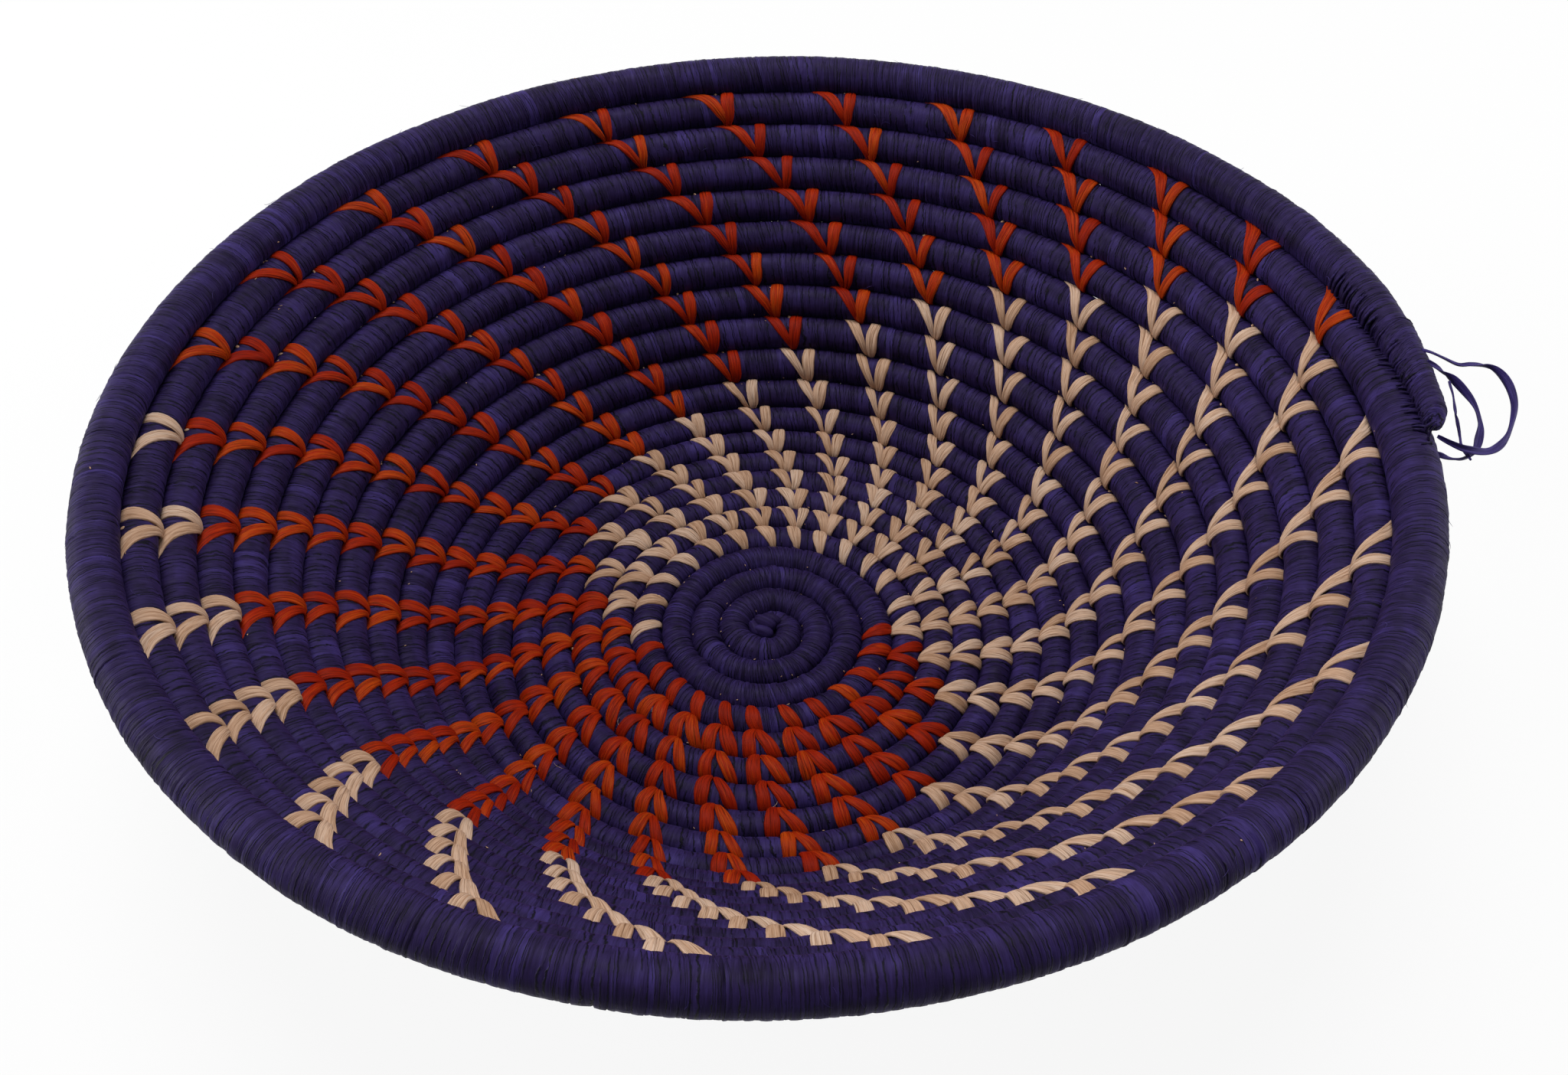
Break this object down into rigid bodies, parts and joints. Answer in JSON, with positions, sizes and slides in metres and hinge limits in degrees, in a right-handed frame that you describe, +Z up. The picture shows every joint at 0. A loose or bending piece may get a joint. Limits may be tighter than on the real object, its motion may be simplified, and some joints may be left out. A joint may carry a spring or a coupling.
{
  "type": "coiled basket bowl",
  "caption": "Open round bowl wound from one sewn fibre coil, with a flat floor, flared wall, leaning arms of forked stitches in a swirl pattern and a soft hanging loop at the rim.",
  "frame": {"origin": "on the axis of the coil, at the bottom of the floor", "axes": "+Z up along the coil's axis; +X towards the end of the coil and its hanging loop; the turns wind outwards clockwise as seen from above"},
  "size_m": [0.319, 0.2988, 0.0882],
  "materials": {
    "coil_fibre": "matt dyed raffia wrapped round a fibre core, with a faint satin sheen along the strands",
    "whipping_fibre": "rough dark raffia, sewn over and over",
    "strip_raffia": "thin dyed raffia strips, twisted and creased, satin",
    "stitch_orange": "burnt orange raffia bundles, satin with fine dark gaps",
    "stitch_cream": "natural cream raffia bundles, satin with fine dark gaps"
  },
  "bodies": {
    "root": {"coil": "coil_fibre", "end_whipping": "whipping_fibre", "hanging_strip_outer": "strip_raffia", "hanging_strip_inner": "strip_raffia", "arm_01_a_orange": "stitch_orange", "arm_01_b_cream": "stitch_cream", "arm_01_c_orange": "stitch_orange", "arm_02_a_orange": "stitch_orange", "arm_02_b_cream": "stitch_cream", "arm_02_c_orange": "stitch_orange", "arm_03_a_orange": "stitch_orange", "arm_03_b_cream": "stitch_cream", "arm_04_a_orange": "stitch_orange", "arm_04_b_cream": "stitch_cream", "arm_05_a_orange": "stitch_orange", "arm_05_b_cream": "stitch_cream", "arm_06_a_orange": "stitch_orange", "arm_06_b_cream": "stitch_cream", "arm_07_a_orange": "stitch_orange", "arm_07_b_cream": "stitch_cream", "arm_08_a_orange": "stitch_orange", "arm_08_b_cream": "stitch_cream", "arm_09_a_orange": "stitch_orange", "arm_09_b_cream": "stitch_cream", "arm_10_a_orange": "stitch_orange", "arm_10_b_cream": "stitch_cream", "arm_11_a_orange": "stitch_orange", "arm_11_b_cream": "stitch_cream", "arm_12_a_orange": "stitch_orange", "arm_12_b_cream": "stitch_cream", "arm_13_a_cream": "stitch_cream", "arm_13_b_orange": "stitch_orange", "arm_13_c_cream": "stitch_cream", "arm_14_a_cream": "stitch_cream", "arm_14_b_orange": "stitch_orange", "arm_14_c_cream": "stitch_cream", "arm_15_a_cream": "stitch_cream", "arm_15_b_orange": "stitch_orange", "arm_15_c_cream": "stitch_cream", "arm_16_a_cream": "stitch_cream", "arm_16_b_orange": "stitch_orange", "arm_16_c_cream": "stitch_cream", "arm_17_a_cream": "stitch_cream", "arm_17_b_orange": "stitch_orange", "arm_18_a_cream": "stitch_cream", "arm_18_b_orange": "stitch_orange", "arm_19_a_cream": "stitch_cream", "arm_19_b_orange": "stitch_orange", "arm_20_a_cream": "stitch_cream", "arm_20_b_orange": "stitch_orange", "arm_21_a_cream": "stitch_cream", "arm_21_b_orange": "stitch_orange", "arm_22_a_cream": "stitch_cream", "arm_22_b_orange": "stitch_orange", "arm_23_a_cream": "stitch_cream", "arm_23_b_orange": "stitch_orange", "arm_24_a_cream": "stitch_cream", "arm_24_b_orange": "stitch_orange", "arm_25_a_cream": "stitch_cream", "arm_25_b_orange": "stitch_orange"}
  },
  "joints": []
}
